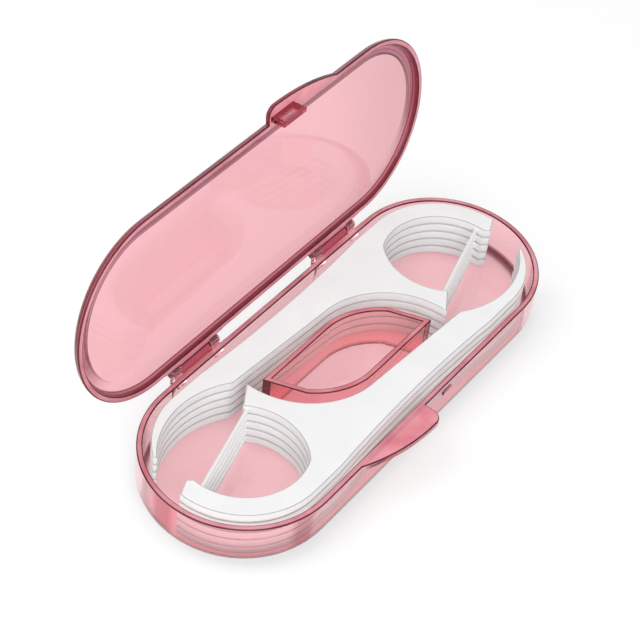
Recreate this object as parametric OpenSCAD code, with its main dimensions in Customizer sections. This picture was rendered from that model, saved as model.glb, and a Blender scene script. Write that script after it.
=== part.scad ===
// Pocket case for floss picks: a clear tray and hinged lid that hold two nested stacks of picks.
// X runs along the case, -Y is the latch side, +Y the hinge side and +Z is up.
// The origin is the middle of the tray's flat underside. The lid is drawn open, on its stop.

/* [Case] */
// Overall length of the tray
case_l = 92; // [84:0.5:110]
// Overall width of the tray
case_w = 34.4; // [33:0.2:40]
// Height of the tray, from the table to its rim
base_h = 9.5; // [9:0.1:12]
// Thickness of the side walls
wall = 1.05; // [0.8:0.05:1.4]
// Thickness of the tray's floor
floor_t = 1; // [0.8:0.1:1.4]
// Outer radius between the floor and the side walls
base_edge_r = 3.4; // [2:0.1:4]
// Inner radius between the floor and the side walls
base_inner_r = 1.6; // [1:0.1:2]

/* [Lid] */
// Height of the lid, from its rim to its outer face
lid_h = 1.85; // [1.85:0.05:3]
// Thickness of the lid's panel
panel_t = 0.85; // [0.7:0.05:0.85]
// Outer radius between the lid's panel and its side walls
lid_edge_r = 1.8; // [1:0.1:1.8]
// Inner radius between the lid's panel and its side walls
lid_inner_r = 0.9; // [0.5:0.1:0.9]
// Gap between the two rims when the case is shut
seam = 0.05; // [0.02:0.01:0.2]
// Angle through which the lid opens before it meets its stop
open_angle = 96.4; // [80:0.2:110]

/* [Hinge] */
// Distance of the hinge axis behind the tray's back wall
hinge_out = 1.15; // [1.1:0.05:1.6]
// Height of the hinge axis above the tray's rim
hinge_up = 0.5; // [0.4:0.05:0.6]
// Diameter of the hinge barrels
barrel_d = 1.9; // [1.7:0.1:2]
// Diameter of the stub pins on the lid's knuckles
pin_d = 1; // [0.8:0.1:1.1]
// Clearance all round a pin in its ear, and at each end of a knuckle
pin_clear = 0.05; // [0.03:0.01:0.1]
// Distance from the middle of the case to the middle of each hinge
hinge_x = 19.35; // [12:0.5:22]
// Length of one hinge, with both of its ears
hinge_len = 11.7; // [8:0.1:14]
// Width of one ear
ear_w = 2; // [1.5:0.1:2.5]
// Depth of an ear below the rim, where it runs down the back wall
ear_drop = 1.8; // [1.2:0.1:3]
// Clearance of the stop heel from the back wall when the lid is open
stop_gap = 0.04; // [0.02:0.01:0.2]

/* [Latch] */
// How far the tray's finger tab reaches out from the front wall
tray_tab_reach = 3.7; // [3:0.1:5]
// Distance from the middle of the case to the far end of the tray's finger tab
tray_tab_end = 19.5; // [15:0.5:25]
// Thickness of the tray's finger tab
tray_tab_t = 1.2; // [0.8:0.1:1.3]
// How far the lid's finger tab reaches out from the front wall
lid_tab_reach = 3.1; // [3:0.1:5]
// Distance from the middle of the case to the far end of the lid's finger tab
lid_tab_end = 20; // [15:0.5:25]
// Thickness of the lid's finger tab
lid_tab_t = 0.8; // [0.7:0.1:1.2]
// Distance of each tab's blunt end from the middle of the case
tab_start = 1.5; // [0.8:0.1:3]
// Radius of a tab's blunt end
tab_end_r = 2; // [1:0.1:2.2]
// Distance from the middle of the case to the near side of the latch lug
lug_x = 2; // [0.5:0.5:4]
// Length of the latch lug along the front wall
lug_len = 6; // [5:0.5:9]
// Thickness of the latch lug
lug_t = 0.9; // [0.7:0.1:1.2]
// How far the lug hangs below the lid's rim
lug_drop = 2.8; // [2.7:0.1:4]
// Length of the catch bead on the tray
bead_len = 2.6; // [1.5:0.1:2.8]
// How far the catch bead stands out from the front wall
bead_out = 0.35; // [0.2:0.05:0.4]
// Depth of the catch bead below the tray's rim
bead_drop = 1.6; // [1.5:0.1:1.8]
// Clearance between the shut lug and the catch bead
latch_clear = 0.1; // [0.05:0.05:0.2]

/* [Divider] */
// Half width of the divider, across the case
divider_half_w = 6.6; // [5:0.1:7]
// Radius of the divider's two round shoulders
divider_r = 14; // [12:0.5:16]
// Distance from the middle of the case to the centre of a shoulder
divider_x = 1.4; // [0:0.1:3]
// Distance from the middle of the case to the divider's flat ends
divider_end = 12.3; // [11:0.1:13]
// Thickness of the divider's wall
divider_wall = 1; // [0.7:0.1:1.2]

/* [Floss pick] */
// Thickness of one pick
pick_t = 1.8; // [1.6:0.05:1.85]
// Gap between two picks in a stack
layer_gap = 0.05; // [0.03:0.01:0.1]
// Gap between the picks and the tray's side wall
side_gap = 1.3; // [1.2:0.1:1.8]
// Width of the curved arm at the head
arm_w = 3.7; // [2.5:0.1:4]
// Width of the handle where it leaves the head
neck_w = 6.85; // [6:0.05:7]
// Width of the handle where the toothpick starts
tail_w = 5.4; // [4:0.1:6]
// Width of the toothpick at its root
tip_w = 2.25; // [1.5:0.05:2.5]
// Radius of the head's outer curve beside the divider
bow_r = 14.9; // [14:0.1:16]
// Distance from the head's centre to the centre of that curve, along the case
bow_dx = 25.4; // [24:0.2:27]
// Radius of the toothpick's inner curve
tip_r = 16.2; // [15.5:0.1:17]
// Depth of the shallow waist along the handle's outer edge
waist = 0.8; // [0:0.1:1.2]
// Diameter of the floss
floss_d = 0.7; // [0.4:0.1:0.9]
// How far the floss runs into each arm of the head
floss_bite = 1.4; // [1:0.1:2]

/* [Hidden] */
$fn = 96;
tiny = 0.01;
far = 60;
layers = 5;
pink = [0.95, 0.62, 0.67, 0.55];
deep_pink = [0.93, 0.45, 0.53, 0.7];
white = [0.97, 0.97, 0.97];
floss_white = [0.88, 0.9, 0.9];

half_w = case_w / 2;
end_x = case_l / 2 - half_w;
inner_r = half_w - wall;

hinge_y = half_w + hinge_out;
hinge_z = base_h + hinge_up;
barrel_r = barrel_d / 2;
knuckle_w = hinge_len - 2 * ear_w - 2 * pin_clear;
run_on = 4;
web_t = 0.9;
web_low = 0.1;
web_in = 0.85 * wall;
heel_low = 1.4;

lug_gap = bead_out + latch_clear;
window_edge = 1.1;
window_top = 0.9;
window_h = 1.35;
bead_r = 0.6;

divider_turn = 19.7;

head_r = inner_r - side_gap;
hole_r = head_r - arm_w;
head_x = -end_x;
bow_x = head_x + bow_dx;
bow_y = bow_r + neck_w - head_r;
tip_x = end_x + 0.6;
tip_y = tip_r + tip_w - head_r;
tip_trim = -36;
shoulder_y = tail_w - head_r;
shoulder_x = tip_x - sqrt(tip_r * tip_r - pow(tip_y - shoulder_y, 2));
waist_x = 22;
waist_r = (waist_x * waist_x + waist * waist) / (2 * max(waist, tiny));
bow_side = [-2.7, -1.7];
mouth_outer = [-head_r, 0.8];
mouth_outer_angle = 23;
mouth_inner = [6.6, 5.3];
mouth_inner_angle = 32;
floss_a = [-hole_r - 0.15, -0.55];
floss_b = [6.65, 4.4];
pick_z = floor_t + layer_gap;
pitch = pick_t + layer_gap;

// A half profile of a shallow dish, from its middle out to radius r, rounded where its side starts
module dish_profile(r, h, edge) {
    union() {
        square([r - edge, h]);
        translate([0, edge]) square([r, h - edge]);
        translate([r - edge, edge]) intersection() {
            circle(r = edge);
            translate([0, -edge]) square([edge, edge]);
        }
    }
}

// A solid with straight sides and two round ends, standing on its rounded edge
module dish(r, h, edge) {
    for (side = [0, 180]) rotate([0, 0, side]) translate([end_x, 0, 0]) rotate([0, 0, -90])
        rotate_extrude(angle = 180) dish_profile(r, h, edge);
    translate([-end_x, 0, 0]) rotate([90, 0, 90]) linear_extrude(2 * end_x) {
        dish_profile(r, h, edge);
        mirror([1, 0]) dish_profile(r, h, edge);
    }
}

// A finger tab that grows out of the front wall and ends in a blunt round nose near the middle
module tab_outline(reach, end) {
    root_y = -half_w + wall / 2;
    nose_x = tab_start + tab_end_r;
    run = end - nose_x;
    sweep_r = (run * run + reach * reach) / (2 * reach);
    intersection() {
        translate([nose_x, -half_w - reach + sweep_r]) circle(r = sweep_r, $fn = 200);
        union() {
            translate([nose_x, -half_w - reach]) square([run + run_on, reach + half_w + root_y]);
            translate([nose_x, tab_end_r - half_w - reach]) circle(r = tab_end_r);
            translate([tab_start, tab_end_r - half_w - reach])
                square([tab_end_r + tiny, reach + half_w + root_y - tab_end_r]);
        }
    }
}

// Where one hinge sits along the case
module at_hinges() {
    for (side = [-1, 1]) translate([side * hinge_x, 0, 0]) children();
}

module ears() {
    reach = hinge_len / 2 - ear_w / 2;
    at_hinges() for (side = [-1, 1]) translate([side * reach, 0, 0]) difference() {
        union() {
            translate([-ear_w / 2, hinge_y, hinge_z]) rotate([0, 90, 0])
                cylinder(r = barrel_r, h = ear_w);
            translate([-ear_w / 2, half_w - wall / 2, base_h - ear_drop])
                cube([ear_w, wall / 2 + hinge_out, ear_drop - 2 * seam]);
        }
        translate([-ear_w / 2 - 1, hinge_y, hinge_z]) rotate([0, 90, 0])
            cylinder(d = pin_d + 2 * pin_clear, h = ear_w + 2);
    }
}

module catch_bead() {
    translate([lug_x + lug_len / 2 - bead_len / 2, bead_r - half_w - bead_out, base_h - bead_drop])
        rotate([0, 90, 0]) cylinder(r = bead_r, h = bead_len);
}

module base_tray() {
    color(pink) difference() {
        union() {
            dish(half_w, base_h, base_edge_r);
            ears();
            catch_bead();
            translate([0, 0, base_h - tray_tab_t]) linear_extrude(tray_tab_t) mirror([1, 0])
                tab_outline(tray_tab_reach, tray_tab_end);
        }
        translate([0, 0, floor_t]) dish(inner_r, base_h, base_inner_r);
    }
}

// Half of the divider's outline: a long side that rounds up into a flat, turned end
module half_leaf(grow) {
    difference() {
        union() {
            translate([-divider_x, divider_r - divider_half_w])
                circle(r = divider_r + grow, $fn = 200);
            translate([-divider_x, -divider_half_w - grow]) square([far, far]);
        }
        rotate(divider_turn) translate([-divider_end - grow - far, -far]) square([far, 2 * far]);
    }
}

module leaf(grow) {
    intersection() {
        half_leaf(grow);
        rotate(180) half_leaf(grow);
    }
}

module tray_divider() {
    color(deep_pink) translate([0, 0, floor_t]) linear_extrude(base_h - floor_t) difference() {
        leaf(0);
        leaf(-divider_wall);
    }
}

// A knuckle of the lid, with its stub pins, the web to the lid's wall and the heel that stops it.
// It is drawn with the lid shut.
module knuckles() {
    web_z = base_h + web_low;
    at_hinges() {
        translate([-knuckle_w / 2, hinge_y, hinge_z]) rotate([0, 90, 0])
            cylinder(r = barrel_r, h = knuckle_w);
        translate([-hinge_len / 2, hinge_y, hinge_z]) rotate([0, 90, 0])
            cylinder(d = pin_d, h = hinge_len);
        translate([-knuckle_w / 2, half_w - web_in, web_z])
            cube([knuckle_w, web_in + hinge_out, web_t]);
        translate([-knuckle_w / 2, hinge_y, hinge_z]) rotate([open_angle, 0, 0])
            translate([0, -hinge_out + stop_gap, -heel_low])
            cube([knuckle_w, hinge_out - stop_gap, heel_low - hinge_up - stop_gap]);
    }
}

module latch_lug() {
    face_y = -half_w - lug_gap;
    rim_z = base_h + seam;
    window_x = lug_x + window_edge;
    difference() {
        union() {
            translate([lug_x, face_y - lug_t, rim_z - lug_drop])
                cube([lug_len, lug_t, lug_drop + lid_tab_t]);
            translate([lug_x, face_y - tiny, rim_z])
                cube([lug_len, lug_gap + wall / 2, lid_tab_t]);
        }
        translate([window_x, face_y - lug_t - 1, rim_z - window_top - window_h])
            cube([lug_len - 2 * window_edge, lug_t + 2, window_h]);
    }
}

module lid_shut() {
    rim_z = base_h + seam;
    difference() {
        union() {
            translate([0, 0, rim_z + lid_h]) mirror([0, 0, 1]) dish(half_w, lid_h, lid_edge_r);
            translate([0, 0, rim_z]) linear_extrude(lid_tab_t)
                tab_outline(lid_tab_reach, lid_tab_end);
            knuckles();
            latch_lug();
        }
        translate([0, 0, rim_z + lid_h - panel_t]) mirror([0, 0, 1])
            dish(inner_r, lid_h, lid_inner_r);
    }
}

module lid_cover() {
    color(pink) translate([0, hinge_y, hinge_z]) rotate([-open_angle, 0, 0])
        translate([0, -hinge_y, -hinge_z]) lid_shut();
}

// The space between the two arms of the head, in a plane centred on the head
module mouth() {
    outer = [cos(mouth_outer_angle), sin(mouth_outer_angle)];
    inner = [cos(mouth_inner_angle), sin(mouth_inner_angle)];
    intersection() {
        circle(r = hole_r);
        translate(bow_side) circle(r = hole_r);
    }
    polygon([
        mouth_outer - 6 * outer, mouth_outer + 3.1 * outer, [-9, -1], [5, 3.9],
        mouth_inner, mouth_inner + far * inner, [far, far], [-far, far]
    ]);
}

// One pick seen from above, with its head at the left end of the tray
module pick_outline() {
    difference() {
        union() {
            for (x = [-end_x, end_x]) translate([x, 0]) circle(r = head_r);
            translate([-end_x, -head_r]) square([2 * end_x, 2 * head_r]);
        }
        translate([0, -head_r + waist - waist_r]) circle(r = waist_r, $fn = 400);
        translate([bow_x, bow_y]) circle(r = bow_r);
        translate([tip_x, tip_y]) circle(r = tip_r);
        polygon([
            [bow_x, bow_y - bow_r], [shoulder_x, shoulder_y], [tip_x, shoulder_y],
            [tip_x, far], [bow_x, far]
        ]);
        translate([head_x, 0]) mouth();
        translate([end_x, 0]) rotate(tip_trim) square([far, far]);
    }
}

module floss_strand(z) {
    run = floss_b - floss_a;
    angle = atan2(run[1], run[0]);
    length = norm(run) + 2 * floss_bite;
    translate([head_x + floss_a[0], floss_a[1], z + pick_t / 2]) rotate([0, 0, angle])
        translate([-floss_bite, 0, 0]) rotate([0, 90, 0]) cylinder(d = floss_d, h = length);
}

// Stack a lies along the latch side, and stack b is the same half a turn round
module in_stack(stack) {
    rotate([0, 0, stack == "b" ? 180 : 0]) children();
}

module pick(stack, layer) {
    z = pick_z + (layer - 1) * pitch;
    color(white) in_stack(stack) difference() {
        translate([0, 0, z]) linear_extrude(pick_t) pick_outline();
        floss_strand(z);
    }
}

module floss(stack, layer) {
    color(floss_white) in_stack(stack) floss_strand(pick_z + (layer - 1) * pitch);
}

base_tray();
tray_divider();
lid_cover();
for (stack = ["a", "b"]) for (layer = [1:layers]) {
    pick(stack, layer);
    floss(stack, layer);
}
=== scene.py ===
import bmesh
import bpy
import math
from mathutils import Matrix, Vector


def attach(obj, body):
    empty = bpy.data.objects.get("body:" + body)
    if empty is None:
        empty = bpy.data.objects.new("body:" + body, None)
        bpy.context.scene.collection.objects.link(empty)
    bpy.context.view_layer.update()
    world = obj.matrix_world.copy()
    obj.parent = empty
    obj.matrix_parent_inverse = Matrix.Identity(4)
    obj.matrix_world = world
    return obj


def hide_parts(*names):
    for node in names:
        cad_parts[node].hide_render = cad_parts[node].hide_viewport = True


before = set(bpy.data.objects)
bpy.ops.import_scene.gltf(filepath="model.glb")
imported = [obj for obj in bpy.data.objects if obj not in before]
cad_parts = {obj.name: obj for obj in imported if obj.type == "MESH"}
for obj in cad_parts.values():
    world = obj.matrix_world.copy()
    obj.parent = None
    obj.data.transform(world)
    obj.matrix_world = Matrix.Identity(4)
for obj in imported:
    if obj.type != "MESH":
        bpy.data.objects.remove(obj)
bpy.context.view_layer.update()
MM = 0.001

# The case, as the CAD model has it
TRAY_H = 9.5 * MM
END_X = 28.8 * MM
HALF_W = 17.2 * MM
WALL = 1.05 * MM
FLOOR_T = 1.0 * MM
FOOT_R = 3.4 * MM
SEAM = 0.05 * MM
OPEN_ANGLE = math.radians(96.4)

# The hinge: its axis, and the box round the small parts at each of its two knuckles
HINGE = Vector((0, 18.35, 10)) * MM
HINGE_FROM, HINGE_TO = 11.9 * MM, 27.1 * MM
HINGE_FRONT = 16.6 * MM
HINGE_TOP = 11.8 * MM

# The two stacks of picks
SIDES = "ab"
LAYERS = (1, 2, 3, 4, 5)
STACK_FOOT = 1.05 * MM
PITCH = 1.85 * MM
PICK_T = 1.8 * MM

# Planes that part the faces with a hole in them, each as a spot and the direction across it
MIDDLE_CUT = ((2 * MM, 0, 0), (1, 0, 0))
HINGE_CUTS = (
    MIDDLE_CUT,
    ((0, 0, HINGE.z), (0, 0, 1)),
    *(((x * MM, 0, 0), (1, 0, 0)) for x in (-27, -12, 12, 27)),
)

# The softened edges
CASE_EDGE = 0.2 * MM
DIVIDER_EDGE = 0.17 * MM
PICK_EDGE = 0.32 * MM
EDGE_SEGMENTS = 3
SHARP_FROM = math.radians(50)
SMOOTH_UP_TO = math.radians(35)
FLAT_FACE_WEIGHT = 80

# Distances and angles that count as nothing
SAME_SPOT = 1e-6
SAME_PLANE = math.radians(0.5)
SAME_PLANE_IN_PAIRS = math.radians(1)
NEAR = 0.01 * MM
HAIR = 0.02 * MM

# The lip: how deep it reaches, and how level the faces of its edges and of its flat are at least
LIP_DEPTH = 0.27 * MM
LIP_EDGE_LEVEL = 0.1
LIP_FLAT_LEVEL = 0.97

# The camera, at the photo's viewing angle
CAMERA_AZIMUTH = math.radians(-58.242)
CAMERA_ELEVATION = math.radians(45.639)
CAMERA_ROLL = math.radians(7.593)
CAMERA_TARGET = Vector((5.433, 9.855, 5.54)) * MM
CAMERA_DISTANCE = 334.549 * MM
FOCAL_PIXELS = 1906.684
PICTURE_PIXELS = 640
SENSOR_WIDTH = 36

# The studio
FLOOR_SIZE = 6
FLOOR_GLOW = 0.38
FLOOR_GLOW_STRENGTH = 1.25
FLOOR_WHITE_FROM, FLOOR_WHITE_FULL = 0.25, 0.8
WORLD_LIGHT, WORLD_SEEN = 0.55, 1.0
LAMP_SIZE = 0.6
LAMPS = (
    ("key_softbox", (-0.35, 0.36, 0.75), 2.2),
    ("front_softbox", (-0.5, -0.5, 0.45), 3.4),
)

PLASTIC_IOR = 1.49


def make_active(piece):
    if bpy.context.object and bpy.context.object.mode != "OBJECT":
        bpy.ops.object.mode_set(mode="OBJECT")
    bpy.ops.object.select_all(action="DESELECT")
    piece.select_set(True)
    bpy.context.view_layer.objects.active = piece


def place_camera():
    back = Vector((math.sin(CAMERA_AZIMUTH) * math.cos(CAMERA_ELEVATION),
                   -math.cos(CAMERA_AZIMUTH) * math.cos(CAMERA_ELEVATION), math.sin(CAMERA_ELEVATION)))
    right = Vector((math.cos(CAMERA_AZIMUTH), math.sin(CAMERA_AZIMUTH), 0))
    up = back.cross(right)
    turned_right = right * math.cos(CAMERA_ROLL) + up * math.sin(CAMERA_ROLL)
    turned_up = up * math.cos(CAMERA_ROLL) - right * math.sin(CAMERA_ROLL)
    bpy.ops.object.camera_add()
    camera = bpy.context.object
    camera.name = "photo_camera"
    axes = Matrix((turned_right, turned_up, back)).transposed().to_4x4()
    spot = CAMERA_TARGET + back * CAMERA_DISTANCE
    camera.matrix_world = Matrix.Translation(spot) @ axes
    camera.data.sensor_width = SENSOR_WIDTH
    camera.data.lens = FOCAL_PIXELS * SENSOR_WIDTH / PICTURE_PIXELS
    camera.data.clip_start = 0.01
    bpy.context.scene.camera = camera


# Parts of materials

def new_material(name):
    material = bpy.data.materials.new(name)
    material.use_nodes = True
    tree = material.node_tree
    tree.nodes.clear()
    return material, tree, tree.nodes.new("ShaderNodeBsdfPrincipled")


def fill(tree, node, inputs):
    """Each named input takes a number, a vector, a colour or the output of another node"""
    for name, value in inputs.items():
        socket = node.inputs[name]
        if isinstance(value, bpy.types.NodeSocket):
            tree.links.new(value, socket)
        elif socket.type == "RGBA":
            socket.default_value = (*value, 1)
        else:
            socket.default_value = value


def add_node(tree, kind, inputs):
    node = tree.nodes.new(kind)
    fill(tree, node, inputs)
    return node


def set_output(tree, surface, volume=None):
    output = add_node(tree, "ShaderNodeOutputMaterial", {"Surface": surface})
    if volume is not None:
        fill(tree, output, {"Volume": volume})


def mixed(tree, share, first, second):
    mix = tree.nodes.new("ShaderNodeMixShader")
    for socket, value in zip(mix.inputs, (share, first, second)):
        tree.links.new(value, socket)
    return mix.outputs[0]


def math_node(tree, operation, *values):
    node = tree.nodes.new("ShaderNodeMath")
    node.operation = operation
    for socket, value in zip(node.inputs, values):
        if isinstance(value, (int, float)):
            socket.default_value = value
        else:
            tree.links.new(value, socket)
    return node.outputs[0]


def both(tree, first, second):
    return math_node(tree, "MULTIPLY", first, second)


def either(tree, first, second):
    return math_node(tree, "MAXIMUM", first, second)


def spread(tree, value, low, high):
    """A value from 0 to 1, spread from low to high"""
    return add_node(tree, "ShaderNodeMapRange", {"Value": value, "To Min": low, "To Max": high}).outputs[0]


def fade(tree, value, full_at, none_at):
    """1 where value is at full_at and 0 where it is at none_at, with a soft step between"""
    node = tree.nodes.new("ShaderNodeMapRange")
    node.interpolation_type = "SMOOTHSTEP"
    fill(tree, node, {"Value": value, "From Min": full_at, "From Max": none_at, "To Min": 1, "To Max": 0})
    return node.outputs[0]


def line_at(tree, value, centre, half_width):
    """1 on a line, with soft sides"""
    solid_half_width = half_width * 0.35
    away = math_node(tree, "ABSOLUTE", math_node(tree, "SUBTRACT", value, centre))
    return fade(tree, away, full_at=solid_half_width, none_at=half_width)


def toned(tree, base, layers):
    """A colour that starts as base and is covered in turn by each (mask, colour)"""
    colour = base
    for mask, cover in layers:
        mix = tree.nodes.new("ShaderNodeMix")
        mix.data_type = "RGBA"
        fill(tree, mix, {"Factor": mask, "A": colour, "B": cover})
        colour = mix.outputs["Result"]
    return colour


def object_place(tree):
    return tree.nodes.new("ShaderNodeTexCoord").outputs["Object"]


def noise(tree, place, scale, detail=2):
    inputs = {"Vector": place, "Scale": scale, "Detail": detail}
    return add_node(tree, "ShaderNodeTexNoise", inputs).outputs["Fac"]


def ramp(tree, value, low, high, low_at=0, high_at=1):
    """The colour low where value is at most low_at, and high where it is at least high_at"""
    node = tree.nodes.new("ShaderNodeValToRGB")
    for stop, position, colour in zip(node.color_ramp.elements, (low_at, high_at), (low, high)):
        stop.position = position
        stop.color = (*colour, 1)
    tree.links.new(value, node.inputs[0])
    return node.outputs[0]


def bumps(tree, height, strength, distance):
    inputs = {"Height": height, "Strength": strength, "Distance": distance}
    return add_node(tree, "ShaderNodeBump", inputs).outputs[0]


def rays_of(tree, *kinds):
    """1 for a ray of one of the kinds, and 0 for any other"""
    rays = tree.nodes.new("ShaderNodeLightPath")
    total = rays.outputs[kinds[0]]
    for kind in kinds[1:]:
        total = either(tree, total, rays.outputs[kind])
    return total


def seen_rays(tree):
    return rays_of(tree, "Is Camera Ray", "Is Glossy Ray", "Is Transmission Ray")


def case_coordinates(tree, opened):
    """x, y and z in the shut case, the distance from its middle line, and x, y and z as one vector"""
    place = object_place(tree)
    if opened:
        turn = Matrix.Rotation(OPEN_ANGLE, 3, "X")
        to_shut = {"Vector": place, "Rotation": (OPEN_ANGLE, 0, 0), "Location": HINGE - turn @ HINGE}
        place = add_node(tree, "ShaderNodeMapping", to_shut).outputs[0]
    x, y, z = add_node(tree, "ShaderNodeSeparateXYZ", {"Vector": place}).outputs
    past_end = math_node(tree, "SUBTRACT", math_node(tree, "ABSOLUTE", x), END_X)
    past_end = math_node(tree, "MAXIMUM", past_end, 0)
    squares = [math_node(tree, "POWER", length, 2) for length in (past_end, y)]
    reach = math_node(tree, "SQRT", math_node(tree, "ADD", *squares))
    return x, y, z, reach, place


# Materials

def clear_plastic(name, tint, tones, density, shade, shades=None, glint=(1, 1, 1), glints=None, opened=False):
    """Clear plastic that takes up light by its density.

    tint colours the light through it, shade its shadow and glint its reflections.
    tones, shades and glints are functions that cover them by place.
    """
    material, tree, shader = new_material(name)
    x, y, z, reach, place = case_coordinates(tree, opened)
    ripple = noise(tree, place, scale=90)
    fill(tree, shader, {
        "Base Color": toned(tree, tint, tones(tree, x, y, z, reach)),
        "Transmission Weight": 1,
        "IOR": PLASTIC_IOR,
        "Specular IOR Level": 0.2,
        "Specular Tint": toned(tree, glint, glints(tree, x, y, z, reach) if glints else ()),
        "Roughness": spread(tree, ripple, low=0.02, high=0.07),
        "Normal": bumps(tree, ripple, strength=0.08, distance=0.4 * MM),
    })
    shadow = toned(tree, shade, shades(tree, x, y, z, reach) if shades else ())
    passing = add_node(tree, "ShaderNodeBsdfTransparent", {"Color": shadow})
    soft_light = rays_of(tree, "Is Shadow Ray", "Is Diffuse Ray")
    inside = add_node(tree, "ShaderNodeVolumeAbsorption", {"Color": (0.4, 0.0, 0.05), "Density": density})
    set_output(tree, mixed(tree, soft_light, shader.outputs[0], passing.outputs[0]), inside.outputs[0])
    return material


def lip_plastic(name, deep, pale, transmission):
    """The lip of a clear moulding, where the light that runs through its walls comes out; its deep and pale
    pinks are painted light and painted glints
    """
    material, tree, shader = new_material(name)
    glints = noise(tree, object_place(tree), scale=160)
    fill(tree, shader, {
        "Base Color": ramp(tree, glints, low=deep, high=pale, low_at=0.38, high_at=0.62),
        "Transmission Weight": transmission,
        "IOR": PLASTIC_IOR,
        "Specular IOR Level": 0.3,
        "Roughness": spread(tree, glints, low=0.1, high=0.25),
    })
    set_output(tree, shader.outputs[0])
    return material


def white_plastic():
    """The white of the picks, with a faint dark line of painted shade on their sides where two picks meet"""
    material, tree, shader = new_material("white_pick_plastic")
    place = object_place(tree)
    flow = noise(tree, place, scale=140, detail=4)
    grain = noise(tree, place, scale=2500)
    white = ramp(tree, flow, low=(0.88, 0.885, 0.89), high=(0.93, 0.93, 0.93), low_at=0.3, high_at=0.7)
    z = add_node(tree, "ShaderNodeSeparateXYZ", {"Vector": place}).outputs["Z"]
    first_seam = STACK_FOOT - (PITCH - PICK_T) / 2
    layer = math_node(tree, "DIVIDE", math_node(tree, "SUBTRACT", z, first_seam), PITCH)
    from_seam = math_node(tree, "PINGPONG", layer, 0.5)
    normal = tree.nodes.new("ShaderNodeNewGeometry").outputs["Normal"]
    facing_up = add_node(tree, "ShaderNodeSeparateXYZ", {"Vector": normal}).outputs["Z"]
    upright = fade(tree, math_node(tree, "ABSOLUTE", facing_up), full_at=0.75, none_at=0.97)
    # Painted shade: grey on the upright faces near each seam between two picks
    seam_shade_line = both(tree, fade(tree, from_seam, full_at=0.04, none_at=0.17), upright)
    fill(tree, shader, {
        "Base Color": toned(tree, white, ((seam_shade_line, (0.34, 0.34, 0.35)),)),
        "Roughness": spread(tree, flow, low=0.38, high=0.5),
        "Normal": bumps(tree, grain, strength=0.06, distance=0.05 * MM),
    })
    set_output(tree, shader.outputs[0])
    return material


def waxed_floss():
    material, tree, shader = new_material("waxed_floss")
    waves = {"Vector": object_place(tree), "Scale": 1400, "Distortion": 1.5}
    fibres = add_node(tree, "ShaderNodeTexWave", waves).outputs["Fac"]
    fill(tree, shader, {
        "Base Color": ramp(tree, fibres, low=(0.8, 0.81, 0.81), high=(0.93, 0.93, 0.93)),
        "Roughness": 0.45,
        "Normal": bumps(tree, fibres, strength=0.3, distance=0.05 * MM),
    })
    set_output(tree, shader.outputs[0])
    return material


# Where the clear plastic looks deeper, most of it painted shade: pairs of a mask and the colour there

def foot_shade_line(tree, z, reach):
    """The turn of the tray's outside from its wall to its underside, where a dark line of painted shade goes
    """
    outside = fade(tree, reach, full_at=HALF_W - 1.1 * MM, none_at=HALF_W - 2.2 * MM)
    low = fade(tree, z, full_at=1.9 * MM, none_at=2.5 * MM)
    return both(tree, low, outside)


def tray_tones(tree, x, y, z, reach):
    """The outer foot and two spots on the round end nearest the camera, deeper as painted shade, the foot
    line and the finger tab
    """
    outside = fade(tree, reach, full_at=HALF_W - 0.2 * MM, none_at=HALF_W - 1.5 * MM)
    # Painted shade: a deeper tint low on the outside of the foot
    foot = both(tree, fade(tree, z, full_at=0.3 * MM, none_at=FOOT_R), outside)
    # Painted shade: deeper spots on the near round end, where the curved wall looks darker
    shoulder = both(tree, line_at(tree, x, centre=-33.6 * MM, half_width=2.6 * MM),
                    fade(tree, y, full_at=-14 * MM, none_at=-12 * MM))
    nose = both(tree, line_at(tree, y, centre=2.6 * MM, half_width=3 * MM),
                fade(tree, x, full_at=-44.5 * MM, none_at=-43 * MM))
    painted_end_shade = both(tree, either(tree, shoulder, nose), outside)
    tab = fade(tree, y, full_at=-HALF_W - 0.4 * MM, none_at=-HALF_W)
    return (
        (foot, (0.8, 0.28, 0.34)),
        (painted_end_shade, (0.62, 0.2, 0.25)),
        (foot_shade_line(tree, z, reach), (0.24, 0.06, 0.08)),
        (tab, (0.9, 0.34, 0.4)),
    )


def tray_reflection_shade(tree, x, y, z, reach):
    """The foot line stays dark where it would mirror the floor: its reflections are tinted dark as painted
    shade
    """
    return ((foot_shade_line(tree, z, reach), (0.2, 0.07, 0.09)),)


def tray_shades(tree, x, y, z, reach):
    """The curve under the side wall throws most of the light aside, so the tray has a shadow at its foot"""
    outside = fade(tree, reach, full_at=HALF_W - 0.2 * MM, none_at=HALF_W - 3 * MM)
    low = fade(tree, z, full_at=1.5 * MM, none_at=FOOT_R)
    return ((both(tree, low, outside), (0.14, 0.13, 0.13)),)


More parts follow.
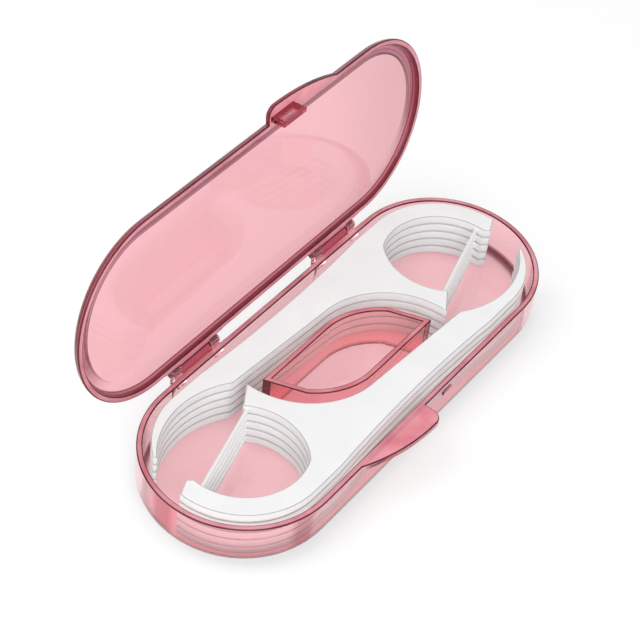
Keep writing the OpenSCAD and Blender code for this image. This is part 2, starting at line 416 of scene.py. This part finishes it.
def lid_tones(tree, x, y, z, reach):
    """Painted shade on the lid: a deeper end that is far from the camera, a dark band with a line inside the
    free edge, and dark lines along the side wall and inside it
    """
    band_from = HALF_W - 3.0 * MM
    far_end_shade = fade(tree, x, full_at=44 * MM, none_at=14 * MM)
    free_edge = fade(tree, y, full_at=2 * MM, none_at=12 * MM)
    band = both(tree, fade(tree, reach, full_at=HALF_W - 2.7 * MM, none_at=band_from), free_edge)
    band_shade_line = both(tree, line_at(tree, reach, centre=band_from, half_width=0.26 * MM), free_edge)
    # Painted shade: dark tints on the side wall and at its inner corner
    side = fade(tree, reach, full_at=HALF_W - 0.7 * MM, none_at=HALF_W - 1.2 * MM)
    corner = line_at(tree, reach, centre=HALF_W - WALL, half_width=0.4 * MM)
    fillet_shade_line = both(tree, line_at(tree, reach, centre=HALF_W - 2.2 * MM, half_width=0.16 * MM),
                  fade(tree, y, full_at=-12 * MM, none_at=4 * MM))
    return (
        (far_end_shade, (0.79, 0.42, 0.45)),
        (band, (0.46, 0.15, 0.2)),
        (band_shade_line, (0.12, 0.02, 0.035)),
        (side, (0.45, 0.07, 0.1)),
        (corner, (0.12, 0.01, 0.02)),
        (fillet_shade_line, (0.3, 0.08, 0.11)),
    )


def divider_tones(tree, x, y, z, reach):
    """The foot of the divider, deeper as painted shade where it stands on the tray's floor"""
    foot = fade(tree, z, full_at=1.1 * MM, none_at=1.9 * MM)
    return ((foot, (0.6, 0.22, 0.22)),)


# Pieces

def dress(piece, material):
    piece.data.materials.clear()
    piece.data.materials.append(material)


def merged_copy(node, name, cuts):
    """A node's shape as few large faces. Each cut parts the faces that have a hole in them."""
    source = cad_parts[node]
    piece = source.copy()
    piece.data = source.data.copy()
    piece.parent = None
    piece.matrix_world = source.matrix_world.copy()
    piece.name = name
    bpy.context.scene.collection.objects.link(piece)
    make_active(piece)
    bpy.ops.mesh.customdata_custom_splitnormals_clear()
    bpy.ops.object.mode_set(mode="EDIT")
    bpy.ops.mesh.select_all(action="SELECT")
    bpy.ops.mesh.remove_doubles(threshold=SAME_SPOT)
    for spot, across in cuts:
        bpy.ops.mesh.select_all(action="SELECT")
        bpy.ops.mesh.bisect(plane_co=spot, plane_no=across, threshold=SAME_SPOT)
        bpy.ops.mesh.mark_seam()
    bpy.ops.mesh.select_all(action="SELECT")
    bpy.ops.mesh.tris_convert_to_quads(face_threshold=SAME_PLANE_IN_PAIRS, shape_threshold=math.pi,
                                       seam=True)
    bpy.ops.mesh.dissolve_limited(angle_limit=SAME_PLANE, delimit={"SEAM"})
    bpy.ops.mesh.select_all(action="SELECT")
    bpy.ops.mesh.mark_seam(clear=True)
    bpy.ops.object.mode_set(mode="OBJECT")
    return piece


def sharp_edges(shape):
    return [edge for edge in shape.edges if edge.calc_face_angle(0) > SHARP_FROM]


def at_hinge(spot):
    return HINGE_FROM < abs(spot.x) < HINGE_TO and spot.y > HINGE_FRONT and spot.z < HINGE_TOP


def case_edges(shape):
    """The outward corners of the case, but none of the small ones at the hinge"""
    return [edge for edge in sharp_edges(shape)
            if edge.is_convex and not all(at_hinge(corner.co) for corner in edge.verts)]


def pick_edges(shape):
    """The edges round a pick's top and foot"""
    levels = [corner.co.z for corner in shape.verts]
    ends = (min(levels), max(levels))
    return [edge for edge in sharp_edges(shape)
            if any(all(abs(corner.co.z - z) < NEAR for corner in edge.verts) for z in ends)]


def widen_slim_strips(shape, softened, width):
    """A strip beside an edge that is too slim to take the edge's rounding is widened a hair past it"""
    corners = {corner for edge in softened for corner in edge.verts}
    others = [corner for corner in shape.verts if corner not in corners]
    wide_enough = width * 1.08
    straight_across = 0.95
    moved = {}
    for edge in softened:
        start = edge.verts[0].co
        length = edge.calc_length()
        along = (edge.verts[1].co - start) / length
        for strip in edge.link_faces:
            if strip.calc_area() >= width * length:
                continue
            away = strip.normal.cross(along)
            if away.dot(strip.calc_center_median() - start) < 0:
                away.negate()
            for far in others:
                offset = far.co - start
                step = offset.dot(along)
                offset -= along * step
                across = offset.dot(away)
                beside = -HAIR < step < length + HAIR and 0 < across < wide_enough
                if beside and across > straight_across * offset.length:
                    moved[far] = start + along * step + away * wide_enough
    for far, spot in moved.items():
        far.co = spot
    bmesh.ops.remove_doubles(shape, verts=shape.verts, dist=HAIR)


def soften_edges(piece, width, edges_of):
    make_active(piece)
    shape = bmesh.new()
    shape.from_mesh(piece.data)
    share = shape.edges.layers.float.new("bevel_weight_edge")
    softened = edges_of(shape)
    for edge in softened:
        edge[share] = 1
    widen_slim_strips(shape, softened, width)
    shape.to_mesh(piece.data)
    shape.free()
    bevel = piece.modifiers.new("softened_edges", "BEVEL")
    bevel.width = width
    bevel.segments = EDGE_SEGMENTS
    bevel.limit_method = "WEIGHT"
    bevel.use_clamp_overlap = False
    bpy.ops.object.modifier_apply(modifier=bevel.name)
    bpy.ops.object.shade_smooth_by_angle(angle=SMOOTH_UP_TO)
    flats = piece.modifiers.new("flat_faces_stay_flat", "WEIGHTED_NORMAL")
    flats.weight = FLAT_FACE_WEIGHT
    flats.keep_sharp = True
    bpy.ops.object.modifier_apply(modifier=flats.name)


def moulded(node, name, body, edge, material, cuts, edges_of=case_edges):
    """A node's own shape with the softened edges of a moulding, in the node's place"""
    piece = merged_copy(node, name, cuts)
    soften_edges(piece, edge, edges_of)
    dress(piece, material)
    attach(piece, body)
    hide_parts(node)
    return piece


def finish_lip(piece, lip_z, lip, lip_line, opened=False):
    """The flat of a lip takes the lip material, and its softened edges the line material, dark lines of
    painted shade
    """
    to_shut = Matrix.Rotation(OPEN_ANGLE if opened else 0, 3, "X")
    flat_slot = len(piece.data.materials)
    edge_slot = flat_slot + 1
    piece.data.materials.append(lip)
    piece.data.materials.append(lip_line)
    for face in piece.data.polygons:
        heights = [(to_shut @ (piece.data.vertices[v].co - HINGE) + HINGE).z for v in face.vertices]
        level = abs((to_shut @ face.normal).z)
        if max(abs(height - lip_z) for height in heights) < LIP_DEPTH and level > LIP_EDGE_LEVEL:
            face.material_index = flat_slot if level > LIP_FLAT_LEVEL else edge_slot


def raise_foot(piece):
    """The piece stands a hair above the tray's floor, so that no two clear faces share a plane"""
    for corner in piece.data.vertices:
        if corner.co.z < FLOOR_T + NEAR:
            corner.co.z += HAIR


# Floor, light and background

def lay_floor():
    """A pale floor that partly glows, and turns fully white far from the part"""
    bpy.ops.mesh.primitive_plane_add(size=FLOOR_SIZE, location=(0, 0, -HAIR))
    floor = bpy.context.object
    floor.name = "studio_floor"
    material, tree, shader = new_material("pale_floor")
    fill(tree, shader, {"Base Color": (0.92, 0.92, 0.92), "Roughness": 1, "Specular IOR Level": 0})
    glow = add_node(tree, "ShaderNodeEmission", {"Strength": FLOOR_GLOW_STRENGTH})
    distance = tree.nodes.new("ShaderNodeVectorMath")
    distance.operation = "LENGTH"
    tree.links.new(object_place(tree), distance.inputs[0])
    far_off = fade(tree, distance.outputs["Value"], full_at=FLOOR_WHITE_FULL, none_at=FLOOR_WHITE_FROM)
    share = math_node(tree, "ADD", both(tree, far_off, 1 - FLOOR_GLOW), FLOOR_GLOW)
    glowing = both(tree, seen_rays(tree), share)
    set_output(tree, mixed(tree, glowing, shader.outputs[0], glow.outputs[0]))
    dress(floor, material)


def light_world():
    """A white world that looks white but lights the part only about half as much"""
    world = bpy.data.worlds.new("studio")
    bpy.context.scene.world = world
    world.use_nodes = True
    tree = world.node_tree
    strength = spread(tree, seen_rays(tree), low=WORLD_LIGHT, high=WORLD_SEEN)
    fill(tree, tree.nodes["Background"], {"Color": (1, 1, 1), "Strength": strength})


def hang_lamp(name, spot, power):
    """A round soft lamp that faces the middle of the part's foot"""
    bpy.ops.object.light_add(type="AREA", location=spot)
    lamp = bpy.context.object
    lamp.name = name
    lamp.data.shape = "DISK"
    lamp.data.size = LAMP_SIZE
    lamp.data.energy = power
    lamp.rotation_euler = (-Vector(spot)).to_track_quat("-Z", "Y").to_euler()


def deepen_light_paths():
    """Light runs a long way inside a clear wall before it leaves it"""
    paths = bpy.context.scene.cycles
    paths.max_bounces = 24
    paths.glossy_bounces = 16
    paths.transmission_bounces = 24
    paths.transparent_max_bounces = 32
    paths.blur_glossy = 0


place_camera()
tray_pink = clear_plastic("clear_pink_tray", tint=(1.0, 0.59, 0.63), tones=tray_tones, density=12,
                          shade=(0.99, 0.96, 0.96), shades=tray_shades, glints=tray_reflection_shade)
lid_pink = clear_plastic("clear_pink_lid", tint=(0.94, 0.51, 0.55), tones=lid_tones, density=12,
                         shade=(0.99, 0.96, 0.96), glint=(0.4, 0.4, 0.4), opened=True)
divider_pink = clear_plastic("clear_deep_pink_divider", tint=(1.0, 0.55, 0.57), tones=divider_tones,
                             density=8, shade=(0.99, 0.95, 0.95))
# Lips in pinks that are painted light: the light let out of the clear walls at their top
pink_lip = lip_plastic("pink_lip", deep=(0.8, 0.24, 0.3), pale=(0.93, 0.4, 0.46), transmission=0.3)
rose_lip = lip_plastic("rose_lip", deep=(0.72, 0.2, 0.25), pale=(0.86, 0.34, 0.38), transmission=0.3)
# Near-black lines of painted shade on the softened edges of the lips
lip_edge_shade = lip_plastic("lip_edge_painted_shade", deep=(0.06, 0.006, 0.012), pale=(0.13, 0.018, 0.03),
                        transmission=0)
pick_white = white_plastic()
floss_white = waxed_floss()

tray = moulded("base_tray", "clear_tray", "case", CASE_EDGE, tray_pink, HINGE_CUTS)
finish_lip(tray, TRAY_H, pink_lip, lip_edge_shade)
lid = moulded("lid_cover", "clear_lid", "lid", CASE_EDGE, lid_pink, HINGE_CUTS)
finish_lip(lid, TRAY_H + SEAM, pink_lip, lip_edge_shade, opened=True)
divider = moulded("tray_divider", "clear_divider", "case", DIVIDER_EDGE, divider_pink, (MIDDLE_CUT,))
finish_lip(divider, TRAY_H, rose_lip, lip_edge_shade)
raise_foot(divider)
for side in SIDES:
    for layer in LAYERS:
        body = f"pick_{side}{layer}"
        middle = STACK_FOOT + (layer - 1) * PITCH + PICK_T / 2
        moulded(body, f"soft_{body}", body, PICK_EDGE, pick_white, (((0, 0, middle), (0, 0, 1)),),
                edges_of=pick_edges)
        dress(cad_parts[f"floss_{side}{layer}"], floss_white)

lay_floor()
light_world()
for lamp in LAMPS:
    hang_lamp(*lamp)
deepen_light_paths()
bpy.context.scene.view_settings.view_transform = "Standard"
